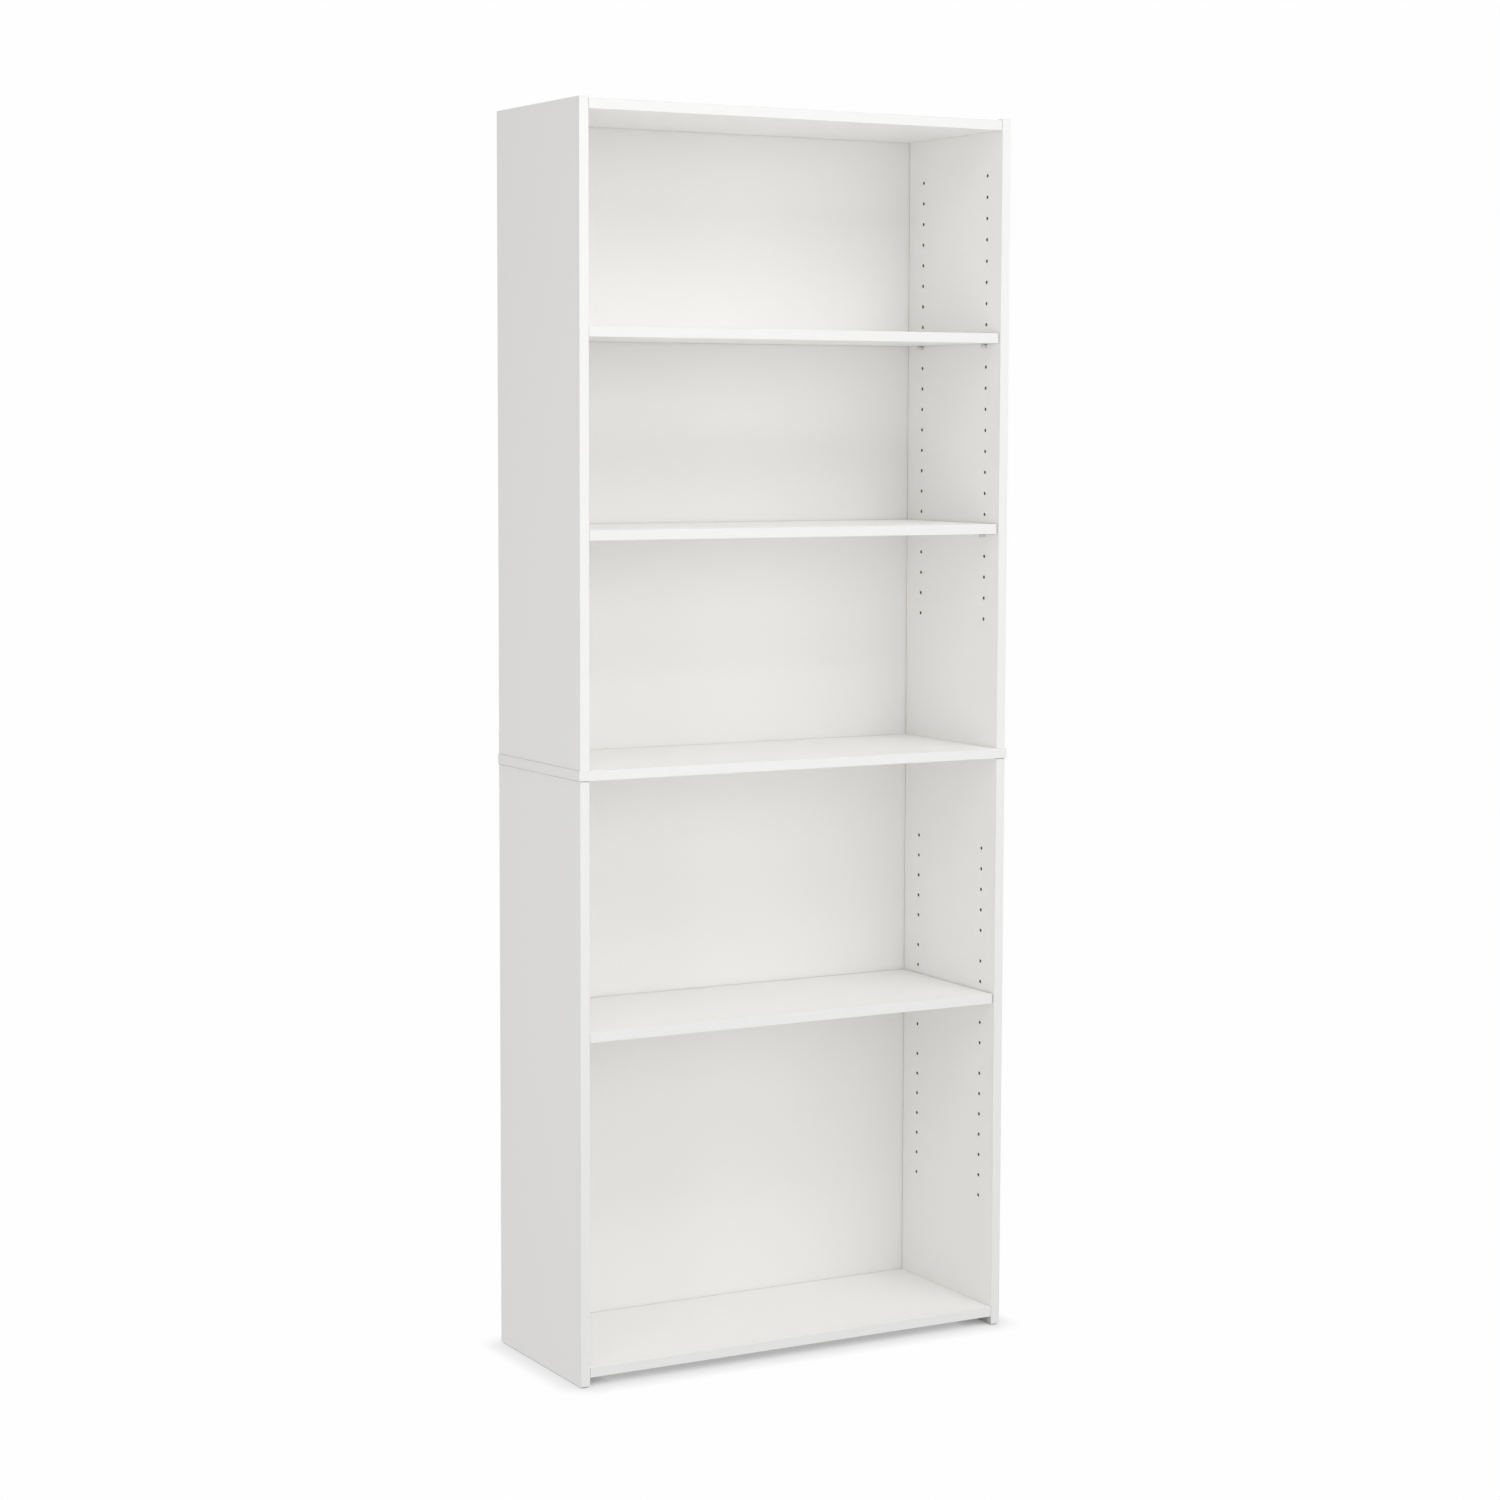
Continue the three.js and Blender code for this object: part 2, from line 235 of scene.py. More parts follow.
def make_hardboard_face():
    """Painted face of the hardboard back: flatter than the laminate, with a slight fibre cloud."""
    n = Nodes("hardboard_painted_face")
    cloud = n.noise(5, 5.0, 0.65)
    fibre = n.noise(260, 5.0, 0.7)
    dark, light = (0.915, 0.909, 0.895, 1), (0.935, 0.929, 0.916, 1)
    colour = n.mixed(n.spread(cloud, 0.2, 0.8), dark, light)
    colour = n.mixed(n.spread(fibre, 0.0, 0.1), colour, (0.66, 0.64, 0.61, 1))
    return n.finish(colour, n.spread(cloud, 0.5, 0.62), n.bump(fibre, 0.05, 0.1 * MM))


def make_hardboard_reverse():
    """Unpainted reverse: brown fibre with the press screen's weave in it."""
    n = Nodes("hardboard_reverse")
    fibre = n.noise(190, 6.0, 0.75)
    cloud = n.noise(6, 4.0, 0.6)
    browns = [(0.25, (0.2, 0.125, 0.07)), (0.5, (0.31, 0.205, 0.12)), (0.78, (0.41, 0.29, 0.18))]
    colour = n.mixed(n.spread(cloud, 0.0, 0.25), n.ramp(fibre, browns), (0.24, 0.16, 0.095, 1))
    wires = {"Vector": n.place, "Scale": 210.0, "Distortion": 0.6}
    across, up = (n.add("ShaderNodeTexWave", wires, bands_direction=axis) for axis in ("X", "Z"))
    crossed = {0: across.outputs["Fac"], 1: up.outputs["Fac"]}
    weave = n.add("ShaderNodeMath", crossed, operation="MULTIPLY").outputs["Value"]
    return n.finish(colour, 0.8, n.bump(weave, 0.35, 0.2 * MM))


def make_beech():
    """Beech dowel: fine straight grain along its length."""
    n = Nodes("beech")
    grain = n.noise(420, 6.0, 0.6, vector=n.stretched((1, 1, 0.06)))
    colour = n.ramp(grain, [(0.3, (0.5, 0.31, 0.16)), (0.7, (0.68, 0.48, 0.29))])
    return n.finish(colour, 0.7, n.bump(grain, 0.2, 0.1 * MM))


def make_metal(name, light, dark, shiniest, dullest):
    """Plated steel: streaked by its polish and dulled in patches, with bright worn edges."""
    n = Nodes(name)
    patch = n.noise(260, 4.0, 0.6)
    streak = n.noise(900, 2.0, vector=n.stretched((1, 6, 6)))
    colour = n.mixed(n.spread(patch, 0.1, 0.9), (*dark, 1), (*light, 1))
    return n.finish(
        n.worn(colour, (0.85, 0.85, 0.84, 1), 0.6),
        n.spread(patch, shiniest, dullest),
        n.bump(streak, 0.08, 0.05 * MM),
        Metallic=1.0,
    )


def make_nylon():
    """The glides' nylon: off-white, with a fine moulded grit."""
    n = Nodes("glide_nylon")
    cloud = n.noise(300, 3.0)
    grit = n.noise(2600, 3.0, 0.7)
    colour = n.mixed(cloud, (0.68, 0.68, 0.65, 1), (0.76, 0.76, 0.735, 1))
    return n.finish(colour, n.spread(grit, 0.45, 0.65), n.bump(grit, 0.15, 0.08 * MM))


LAMINATE = make_laminate("white_laminate", (0.93, 0.922, 0.904), (0.91, 0.901, 0.882))
# The front bands: the same banding as the side bands, made darker as painted shade against the
# stronger light on the front.
FRONT_BAND_PAINTED_SHADE = make_band("front_band_painted_shade", (0.765, 0.762, 0.754), (0.742, 0.738, 0.729))
SIDE_BAND = make_band("side_band", (0.92, 0.912, 0.894), (0.9, 0.891, 0.872))
CHIPBOARD = make_chipboard("raw_chipboard", 0.4, 0.0)
# The walls of bores: chipboard darkened, partly as the drill burnishes it and partly as painted shade
# inside the holes.
BORED_SHADED = make_chipboard("bored_chipboard_shaded", 0.42, 0.62)
PAINTED = make_hardboard_face()
REVERSE = make_hardboard_reverse()
BEECH = make_beech()
NICKEL = make_metal("nickel_plate", (0.72, 0.71, 0.68), (0.58, 0.57, 0.55), 0.2, 0.36)
ZINC = make_metal("zinc_plate", (0.66, 0.67, 0.68), (0.5, 0.51, 0.53), 0.32, 0.5)
NYLON = make_nylon()

# A board's materials, and their places in its mesh.
BOARD = (LAMINATE, CHIPBOARD, BORED_SHADED)
FACED, RAW, CUT = range(3)

# ---- Mesh helpers ------------------------------------------------------------------------------


def to_mesh(bm, name, materials):
    """The mesh of a finished bmesh, with its faces turned outward."""
    mesh = bpy.data.meshes.new(name)
    bmesh.ops.recalc_face_normals(bm, faces=bm.faces)
    bm.to_mesh(mesh)
    bm.free()
    for material in materials:
        mesh.materials.append(material)
    return mesh


def place(name, mesh, node, at=(0, 0, 0), turn=None, replaces=True):
    """One piece of the bookcase, on the body of a CAD node, which it hides if it replaces it."""
    piece = bpy.data.objects.new(name, mesh)
    bpy.context.scene.collection.objects.link(piece)
    piece.matrix_world = Matrix.Translation(at) @ (turn or Matrix.Identity(4))
    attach(piece, BODY_OF[node])
    if replaces:
        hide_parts(node)


def bevel(bm, edges, width, segments):
    bmesh.ops.bevel(bm, geom=edges, offset=width, segments=segments, affect="EDGES", profile=0.5)


def add_box(bm, low, high, index=0):
    low, high = Vector(low), Vector(high)
    made = bmesh.ops.create_cube(bm, size=1)["verts"]
    for vert in made:
        vert.co = Vector(low[i] if vert.co[i] < 0 else high[i] for i in range(3))
    faces = {face for vert in made for face in vert.link_faces}
    for face in faces:
        face.material_index = index


def add_turned(bm, profile, segments, index=0, flute=0):
    """A turned solid about +Z from (height, radius) points that start and end on the axis.
    flute is the share of the radius that every other point of a ring is drawn in by."""
    rings = []
    for height, radius in profile:
        if radius == 0:
            rings.append([bm.verts.new((0, 0, height))])
            continue
        ring = []
        for step in range(segments):
            angle = 2 * math.pi * step / segments
            reach = radius * (1 - (flute if step % 2 else 0))
            ring.append(bm.verts.new((reach * math.cos(angle), reach * math.sin(angle), height)))
        rings.append(ring)
    for lower, upper in zip(rings, rings[1:]):
        for step in range(segments):
            after = (step + 1) % segments
            if len(lower) == 1:
                corners = (lower[0], upper[step], upper[after])
            elif len(upper) == 1:
                corners = (lower[step], upper[0], lower[after])
            else:
                corners = (lower[step], upper[step], upper[after], lower[after])
            bm.faces.new(corners).material_index = index


AIM = {
    "+X": Matrix.Rotation(math.pi / 2, 4, "Y"),
    "-X": Matrix.Rotation(-math.pi / 2, 4, "Y"),
    "-Y": Matrix.Rotation(math.pi / 2, 4, "X"),
    "+Z": Matrix.Identity(4),
    "-Z": Matrix.Rotation(math.pi, 4, "X"),
}


def add_bore(bm, at, aim, profile, segments=24, index=CUT):
    """A turned cutter from at, pointing along aim."""
    bore = bmesh.new()
    add_turned(bore, profile, segments, index)
    bore.transform(Matrix.Translation(at) @ AIM[aim])
    scratch = bpy.data.meshes.new("scratch")
    bore.to_mesh(scratch)
    bore.free()
    bm.from_mesh(scratch)
    bpy.data.meshes.remove(scratch)


def straight(radius, depth):
    """A plain bore's profile, from just outside its mouth."""
    return [(-MM, 0), (-MM, radius), (depth, radius), (depth, 0)]


def cutter(build):
    """A cutter mesh, from a function that adds shapes to a bmesh."""
    bm = bmesh.new()
    build(bm)
    return to_mesh(bm, "cutter", BOARD)


def carve(mesh, *shapes):
    """The mesh with the shapes that each function builds taken away from it, one after another."""
    cutters = [cutter(build) for build in shapes]
    body = bpy.data.objects.new("carved", mesh)
    bpy.context.scene.collection.objects.link(body)
    tools = []
    for cut in cutters:
        tool = bpy.data.objects.new("cutter", cut)
        bpy.context.scene.collection.objects.link(tool)
        tools.append(tool)
        modifier = body.modifiers.new("carve", "BOOLEAN")
        modifier.operation = "DIFFERENCE"
        modifier.solver = "EXACT"
        modifier.object = tool
    bpy.context.view_layer.update()
    evaluated = body.evaluated_get(bpy.context.evaluated_depsgraph_get())
    carved = bpy.data.meshes.new_from_object(evaluated)
    for gone in (body, *tools):
        bpy.data.objects.remove(gone)
    carved.name = mesh.name
    for gone in (mesh, *cutters):
        bpy.data.meshes.remove(gone)
    return carved


def smooth(mesh, degrees=35):
    """Smooth shading, except over edges sharper than degrees."""
    mesh.polygons.foreach_set("use_smooth", [True] * len(mesh.polygons))
    mesh.set_sharp_from_angle(angle=math.radians(degrees))
    return mesh


def carve_zinc(mesh, *shapes):
    """A plated casting or pressing with shapes carved from it, and plated in its cuts too."""
    carved = smooth(carve(mesh, *shapes), 30)
    carved.materials.clear()
    carved.materials.append(ZINC)
    return carved


# ---- Boards ------------------------------------------------------------------------------------

FACES = {  # axis, direction along it
    "left": (0, -1),
    "right": (0, 1),
    "front": (1, -1),
    "rear": (1, 1),
    "bottom": (2, -1),
    "top": (2, 1),
}


def on_plane(thing, axis, plane):
    """Whether an edge or a face lies at plane along the axis."""
    return all(abs(vert.co[axis] - plane) < 0.01 * MM for vert in thing.verts)


def face_plane(low, high, face):
    """The axis of one of a box's faces, and its place along it."""
    axis, sign = FACES[face]
    return axis, (low if sign < 0 else high)[axis]


def draw_in(low, high, face):
    """Moves one of a box's faces in, to leave room for the edge band that covers it."""
    axis, sign = FACES[face]
    (low if sign < 0 else high)[axis] -= sign * (BAND + GLUE_LINE)


def extent(node):
    """A board's box, but the upper ends settle on the middle shelf, and the lower ends stop
    short of it, so that a thin shadow shows under it."""
    low, high = box(node)
    if node.startswith("upper_end"):
        low.z -= SETTLED
    elif node.startswith("lower_end"):
        high.z -= SHADOW_GAP
    return low, high


def core(node, banded, raw):
    """A board inside its edge bands, with chipboard showing on its raw edges.
    Only the edges that no band covers are eased."""
    low, high = extent(node)
    for face in banded:
        draw_in(low, high, face)
    bm = bmesh.new()
    add_box(bm, low, high)
    planes = [face_plane(low, high, face) for face in banded]
    eased = [edge for edge in bm.edges if not any(on_plane(edge, *plane) for plane in planes)]
    bevel(bm, eased, ARRIS, 2)
    for face in raw:
        for polygon in bm.faces:
            if on_plane(polygon, *face_plane(low, high, face)):
                polygon.material_index = RAW
    return to_mesh(bm, node, BOARD)


def band(node, face, trims=()):
    """A strip of edge banding on one edge of a board, its outer corners rounded over.
    trims names the neighbouring banded faces that this strip stops short of."""
    low, high = extent(node)
    axis, outer = face_plane(low, high, face)
    inner = outer - FACES[face][1] * BAND
    low[axis], high[axis] = min(outer, inner), max(outer, inner)
    for trim in trims:
        draw_in(low, high, trim)
    bm = bmesh.new()
    add_box(bm, low, high)
    rim = [edge for edge in bm.edges if on_plane(edge, axis, outer)]
    if node.startswith("upper_end"):
        rim = [edge for edge in rim if not on_plane(edge, 2, low.z)]
    bevel(bm, rim, BAND_ROUND, 3)
    # Front bands take the darker copy of the banding, which is painted shade.
    material = FRONT_BAND_PAINTED_SHADE if face == "front" else SIDE_BAND
    mesh = to_mesh(bm, f"{node}_{face}_band", [material])
    place(mesh.name, mesh, node, replaces=False)


def bands(node, faces):
    """A band on each face. Where two meet, the later one stops short of the earlier."""
    for order, face in enumerate(faces):
        band(node, face, faces[:order])


def back_groove(bm, x_range, z_range):
    """A cutter for a stretch of the groove that holds a back."""
    low, high = box("upper_back")
    corner = (x_range[0], low.y - BACK_PLAY, z_range[0])
    add_box(bm, corner, (x_range[1], high.y + CLEARANCE, z_range[1]), index=RAW)


def hole_rows(case):
    """The heights of the pin holes in the upper or lower case."""
    if case == "upper":
        first = middle("shelf_pin_high_left_front").z + UPPER_ROWS_ABOVE_HIGH_PIN * PITCH
        return [first - row * PITCH for row in range(UPPER_ROWS)]
    rows, height = [], 0.0
    for count in LOWER_GROUPS:
        rows += [height - row * PITCH for row in range(count)]
        height = rows[-1] - GROUP_STEP * PITCH
    shift = middle("shelf_pin_low_left_front").z - rows[LOWER_ROW_OF_LOW_PIN]
    return [row + shift for row in rows]


PIN_HOLE = [
    (-MM, 0),
    (-MM, PIN_HOLE_RADIUS + PIN_HOLE_RIM),
    (0, PIN_HOLE_RADIUS + PIN_HOLE_RIM),
    (PIN_HOLE_RIM, PIN_HOLE_RADIUS),
    (PIN_HOLE_DEPTH - PIN_HOLE_TIP, PIN_HOLE_RADIUS),
    (PIN_HOLE_DEPTH, 0),
]


def inside(side):
    """The x of an end's inner face."""
    low, high = box(f"upper_end_{side}")
    return high.x if side == "left" else low.x


def outward(side):
    return "-X" if side == "left" else "+X"


def inward(side):
    return "+X" if side == "left" else "-X"


def upright_bore(bm, node, start, aim, radius):
    """A bore from the height start, just deeper than the end of the upright part that it holds."""
    low, high = box(node)
    depth = (high.z - start if aim == "+Z" else start - low.z) + CLEARANCE
    centre = middle(node)
    add_bore(bm, (centre.x, centre.y, start), aim, straight(radius, depth))


def end_board(case, side):
    """One end of the upper or lower case, drilled for its pins and fasteners."""
    node = f"{case}_end_{side}"
    low, high = box(node)
    x = inside(side)
    panel = "top" if case == "upper" else "bottom"

    def drill_pins(bm):
        for place_name in PLACES:
            y = middle(f"shelf_pin_high_{side}_{place_name}").y
            for z in hole_rows(case):
                add_bore(bm, (x, y, z), outward(side), PIN_HOLE)

    def plough(bm):
        edge = x + SIDES[side] * GROOVE_DEPTH
        inner = x - SIDES[side] * MM
        back_groove(bm, sorted((inner, edge)), (low.z - MM, high.z + MM))

    def drill_fasteners(bm):
        for place_name in PLACES:
            bolt = f"cam_bolt_{panel}_{side}_{place_name}"
            axis, tip = middle(bolt), box(bolt)[0 if side == "left" else 1].x
            thread = straight(BOLT_BORE, abs(tip - x) + CLEARANCE)
            add_bore(bm, (x, axis.y, axis.z), outward(side), thread)
            dowel = f"dowel_{side}_{place_name}"
            if case == "upper":
                upright_bore(bm, dowel, low.z, "+Z", DOWEL_BORE)
            else:
                upright_bore(bm, dowel, high.z, "-Z", DOWEL_BORE)
                upright_bore(bm, f"glide_{side}_{place_name}", low.z, "+Z", NAIL_BORE)
        for number in PLATE_SCREWS:
            screw = f"plate_screw_{side}_{number}"
            axis, tip = middle(screw), box(screw)[0].y
            if low.z < axis.z < high.z:
                pilot = straight(SCREW_BORE, high.y - tip + CLEARANCE)
                add_bore(bm, (axis.x, high.y, axis.z), "-Y", pilot)

    banded = ("front", "top") if case == "upper" else ("front",)
    mesh = core(node, banded, ("rear", "bottom", "top"))
    mesh = carve(mesh, plough, drill_pins, drill_fasteners)
    place(f"{node}_board", mesh, node)
    bands(node, banded)


def cam_panel(node, opens):
    """The top or bottom panel, with its back groove, cam pockets and bolt bores."""
    low, high = box(node)
    panel = node.split("_")[0]
    face_z, aim = (high.z, "-Z") if opens == "up" else (low.z, "+Z")
    above, below = (high.z - GROOVE_DEPTH, high.z + MM), (low.z - MM, low.z + GROOVE_DEPTH)

    def plough(bm):
        back_groove(bm, (low.x - MM, high.x + MM), below if opens == "up" else above)

    def pockets(bm):
        for side, place_name in CORNERS:
            cam = f"cam_lock_{panel}_{side}_{place_name}"
            centre, (cam_low, cam_high) = middle(cam), box(cam)
            radius = (cam_high.y - cam_low.y) / 2 + CLEARANCE
            deep = max(abs(cam_low.z - face_z), abs(cam_high.z - face_z)) + CLEARANCE
            add_bore(bm, (centre.x, centre.y, face_z), aim, straight(radius, deep), 40)

    def bores(bm):
        for side, place_name in CORNERS:
            bolt = middle(f"cam_bolt_{panel}_{side}_{place_name}")
            cam = middle(f"cam_lock_{panel}_{side}_{place_name}")
            end = low.x if side == "left" else high.x
            shaft = straight(SHAFT_BORE, abs(cam.x - end))
            add_bore(bm, (end, bolt.y, bolt.z), inward(side), shaft)

    mesh = carve(core(node, ("front",), ("left", "right", "rear")), plough, pockets, bores)
    place(f"{node}_board", mesh, node)
    bands(node, ("front",))


def middle_board():
    """The fixed shelf between the two cases, with a groove on each face and four dowel holes."""
    node = "middle_shelf"
    low, high = box(node)
    reach = abs(inside("right")) + GROOVE_DEPTH

    def plough(bm):
        back_groove(bm, (-reach, reach), (high.z - GROOVE_DEPTH, high.z + MM))
        back_groove(bm, (-reach, reach), (low.z - MM, low.z + GROOVE_DEPTH))

    def drill(bm):
        through = straight(DOWEL_BORE, high.z - low.z + MM)
        for side, place_name in CORNERS:
            dowel = middle(f"dowel_{side}_{place_name}")
            add_bore(bm, (dowel.x, dowel.y, low.z), "+Z", through)

    mesh = carve(core(node, ("left", "right", "front"), ("rear",)), plough, drill)
    place(f"{node}_board", mesh, node)
    bands(node, ("front", "left", "right"))


def adjustable_board(level):
    node = f"adjustable_shelf_{level}"
    place(f"{node}_board", core(node, ("front", "left", "right"), ("rear",)), node)
    bands(node, ("front", "left", "right"))


def back_sheet(node):
    """Hardboard: painted in front, bare and screen-marked behind."""
    low, high = box(node)
    bm = bmesh.new()
    add_box(bm, low, high, index=1)
    bevel(bm, bm.edges[:], BACK_ARRIS, 1)
    for polygon in bm.faces:
        if all(vert.co.y - low.y < 1.2 * BACK_ARRIS for vert in polygon.verts):
            polygon.material_index = 0
    place(f"{node}_sheet", to_mesh(bm, node, [PAINTED, REVERSE]), node)


# ---- Hardware ----------------------------------------------------------------------------------


def turned_mesh(name, profile, material, segments=32, flute=0):
    bm = bmesh.new()
    add_turned(bm, profile, segments, flute=flute)
    return smooth(to_mesh(bm, name, [material]))


def rounded(end, radius, corner):
    """Points of a rounded corner that leaves radius and meets a flat face at end, then its centre."""
    steps = 4
    points = []
    for step in range(steps + 1):
        angle = math.pi / 2 * step / steps
        height = end - corner + corner * math.sin(angle)
        points.append((height, radius - corner + corner * math.cos(angle)))
    return [*points, (end, 0)]


def ridges(start, end, root, crest, count):
    """The crests and roots of a thread or a knurled stretch, as rings."""
    step = (end - start) / count
    points = []
    for ridge in range(count):
        at = start + ridge * step
        points += [(at, root), (at + 0.3 * step, crest)]
        points += [(at + 0.55 * step, crest), (at + 0.85 * step, root)]
    return points


def place_across(node, mesh, side):
    """A turned part that points inward from an end's inner face."""
    centre = middle(node)
    place(f"{node}_turned", mesh, node, (inside(side), centre.y, centre.z), AIM[inward(side)])


def place_upright(node, ending, mesh):
    """A turned part that stands on its lower end."""
    centre = middle(node)
    place(f"{node}_{ending}", mesh, node, (centre.x, centre.y, box(node)[0].z))


def shelf_pins():
    """Nickel pins: a ribbed shank in the hole, and a grooved head with a rounded end."""
    sample_low, sample_high = box("shelf_pin_high_left_front")
    face = inside("left")
    into, out = face - sample_low.x, sample_high.x - face
    head = (sample_high.z - sample_low.z) / 2
    shank, rib, groove = 2.42 * MM, 0.15 * MM, 0.3 * MM
    profile = [(-into, 0), (-into, shank - 0.5 * MM), (-into + 0.5 * MM, shank)]
    profile += ridges(-into + 1.5 * MM, -1.6 * MM, shank - rib, shank, 7)
    profile += [(-1.2 * MM, shank), (groove, shank), (groove, head - groove), (2 * groove, head)]
    profile += [(1.9 * MM, head), (2.2 * MM, head - groove)]
    profile += [(2.6 * MM, head - groove), (2.9 * MM, head)]
    profile += rounded(out, head, 0.8 * MM)
    mesh = turned_mesh("shelf_pin", profile, NICKEL)
    for level in LEVELS:
        for side, place_name in CORNERS:
            place_across(f"shelf_pin_{level}_{side}_{place_name}", mesh, side)


def cross_recess(arm, half_width, bottom, top):
    """Functions that build the two bars of a driver's cross, between two heights."""

    def bar(bm):
        add_box(bm, (-arm, -half_width, bottom), (arm, half_width, top))

    def crossbar(bm):
        add_box(bm, (-half_width, -arm, bottom), (half_width, arm, top))

    return bar, crossbar


def cam_mesh(radius, thick):
    """A cast cam, its axis along +Z and its face at zero: chamfered, with a groove round it,
    a cross recess for the driver and a mouth for the bolt."""
    chamfer = 0.4 * MM
    profile = [(-thick, 0), (-thick, radius - chamfer), (-thick + chamfer, radius)]
    profile += [(-1.6 * MM, radius), (-1.3 * MM, radius - 0.25 * MM), (-1 * MM, radius)]
    profile += [(-chamfer, radius), (0, radius - chamfer), (0, 0)]
    bm = bmesh.new()
    add_turned(bm, profile, 48)
    body = to_mesh(bm, "cam", [ZINC])

    def mouth(bm):
        add_box(bm, (-1.5 * MM, -3.5 * MM, -10.7 * MM), (9 * MM, 3.5 * MM, -3.7 * MM))

    return carve_zinc(body, *cross_recess(4.4 * MM, 0.8 * MM, -1.7 * MM, MM), mouth)


def bolt_mesh(into, out):
    """A cam bolt along +Z: a thread as far as the end's face at zero, a collar, a shaft and a head."""
    root, crest, collar, shaft, neck, head = (size * MM for size in (2.3, 3.15, 3.5, 2.5, 1.6, 3))
    profile = [(-into, 0), (-into, 1.2 * MM), (-into + 1.2 * MM, 2.4 * MM)]
    profile += ridges(-into + 1.5 * MM, -0.6 * MM, root, crest, 5)
    profile += [(-0.3 * MM, 2.6 * MM), (0, 2.6 * MM), (0, 3.2 * MM), (0.3 * MM, collar)]
    profile += [(1.7 * MM, collar), (2 * MM, 3.2 * MM), (2 * MM, shaft), (out - 5.7 * MM, shaft)]
    profile += [(out - 5.2 * MM, neck), (out - 3 * MM, neck), (out - 3 * MM, 2.7 * MM)]
    profile += [(out - 2.7 * MM, head), *rounded(out, head, 0.8 * MM)]
    return turned_mesh("cam_bolt", profile, ZINC, 24)


def cam_fasteners():
    low, high = box("cam_lock_top_right_front")
    cam = cam_mesh((high.y - low.y) / 2, high.z - low.z)
    low, high = box("cam_bolt_top_left_front")
    bolt = bolt_mesh(inside("left") - low.x, high.x - inside("left"))
    for panel, flip in (("top", Matrix.Identity(4)), ("bottom", Matrix.Rotation(math.pi, 4, "X"))):
        for side, place_name in CORNERS:
            facing = Matrix.Rotation(0 if side == "right" else math.pi, 4, "Z")
            node = f"cam_lock_{panel}_{side}_{place_name}"
            face = box(node)[1 if panel == "top" else 0].z
            centre = middle(node)
            place(f"{node}_casting", cam, node, (centre.x, centre.y, face), facing @ flip)
            place_across(f"cam_bolt_{panel}_{side}_{place_name}", bolt, side)


def dowels():
    low, high = box("dowel_left_front")
    radius, length, chamfer = (high.x - low.x) / 2, high.z - low.z, 1 * MM
    profile = [(0, 0), (0, radius - chamfer), (chamfer, radius)]
    profile += [(length - chamfer, radius), (length, radius - chamfer), (length, 0)]
    mesh = turned_mesh("dowel", profile, BEECH, 48, flute=0.07)
    for side, place_name in CORNERS:
        place_upright(f"dowel_{side}_{place_name}", "fluted", mesh)


def glides():
    """Nail-on glides: a round foot under a plain nail."""
    low, high = box("glide_left_front")
    base, tall = (high.x - low.x) / 2, high.z - low.z
    foot, nail = 2 * MM, 0.8 * MM
    profile = [(0, 0), (0, base - 1.1 * MM)]
    profile += [(0.12 * MM, base - 0.6 * MM), (0.4 * MM, base - 0.2 * MM), (0.8 * MM, base)]
    profile += [(foot - 0.2 * MM, base), (foot, base - 0.2 * MM), (foot, nail)]
    profile += [(tall - 2 * MM, nail), (tall, 0)]
    mesh = turned_mesh("glide", profile, NYLON)
    for side, place_name in CORNERS:
        place_upright(f"glide_{side}_{place_name}", "moulded", mesh)


def screw_mesh(radius, length):
    """A countersunk chipboard screw pointing along +Z, its head's face at zero."""
    shank, root = 1.45 * MM, 1.05 * MM
    profile = [(0, 0), (0, radius - 0.15 * MM), (0.12 * MM, radius), (0.3 * MM, radius)]
    profile += [(1.6 * MM, shank), *ridges(2 * MM, length - 3 * MM, root, shank, 8)]
    profile += [(length - 2.6 * MM, 1 * MM), (length, 0)]
    bm = bmesh.new()
    add_turned(bm, profile, 32)
    body = to_mesh(bm, "plate_screw", [ZINC])
    return carve_zinc(body, *cross_recess(1.7 * MM, 0.35 * MM, -MM, 0.9 * MM))


def joining_plates():
    """Flat plates with round corners and countersunk holes, four screws in each."""
    low, high = box("plate_screw_left_1")
    screw = screw_mesh((high.x - low.x) / 2, high.y - low.y)
    sink = [(-MM, 0), (-MM, 3.5 * MM), (0.3 * MM, 3.5 * MM), (1.6 * MM, 1.8 * MM)]
    sink += [(3 * MM, 1.8 * MM), (3 * MM, 0)]
    for side in SIDES:
        node = f"joining_plate_{side}"
        low, high = box(node)
        bm = bmesh.new()
        add_box(bm, low, high)
        corners = [edge for edge in bm.edges if edge.calc_length() < 2 * MM]  # across its thickness
        bevel(bm, corners, 3 * MM, 6)
        bevel(bm, [edge for edge in bm.edges if on_plane(edge, 1, high.y)], 0.3 * MM, 2)
        plate = to_mesh(bm, node, [ZINC])

        def countersinks(bm):
            for number in PLATE_SCREWS:
                at = middle(f"plate_screw_{side}_{number}")
                add_bore(bm, (at.x, high.y, at.z), "-Y", sink, 32, index=FACED)

        place(f"{node}_pressed", carve_zinc(plate, countersinks), node)
        for number in PLATE_SCREWS:
            node = f"plate_screw_{side}_{number}"
            centre = middle(node)
            turn = AIM["-Y"] @ Matrix.Rotation(number * SCREW_TURN, 4, "Z")
            place(f"{node}_driven", screw, node, (centre.x, box(node)[1].y, centre.z), turn)


# ---- Stage: floor, light and camera ------------------------------------------------------------

CAMERA_PLACE = (-2.404, -4.327, 1.399)
CAMERA_YAW = math.radians(28.97)  # towards +X from +Y
CAMERA_DIP = math.radians(5.14)  # below the horizon
CAMERA_ROLL = math.radians(0.17)
CAMERA_SENSOR = 36
CAMERA_LENS = 78.9
CAMERA_SHIFT = -0.023
FLOOR_WHITE = 0.99  # as the camera sees it
FLOOR_BOUNCE = 0.77  # as the bookcase is lit by it
UNDER_BOUNCE = 0.08  # the same, under the bookcase, dimmed as painted shade
FLOOR_REACH = 30.0
SHADE_REACH = 0.041  # how far the painted shade spreads from what stands on the floor
SUN_STAND_OFF = 5  # only marks where a sun shines from
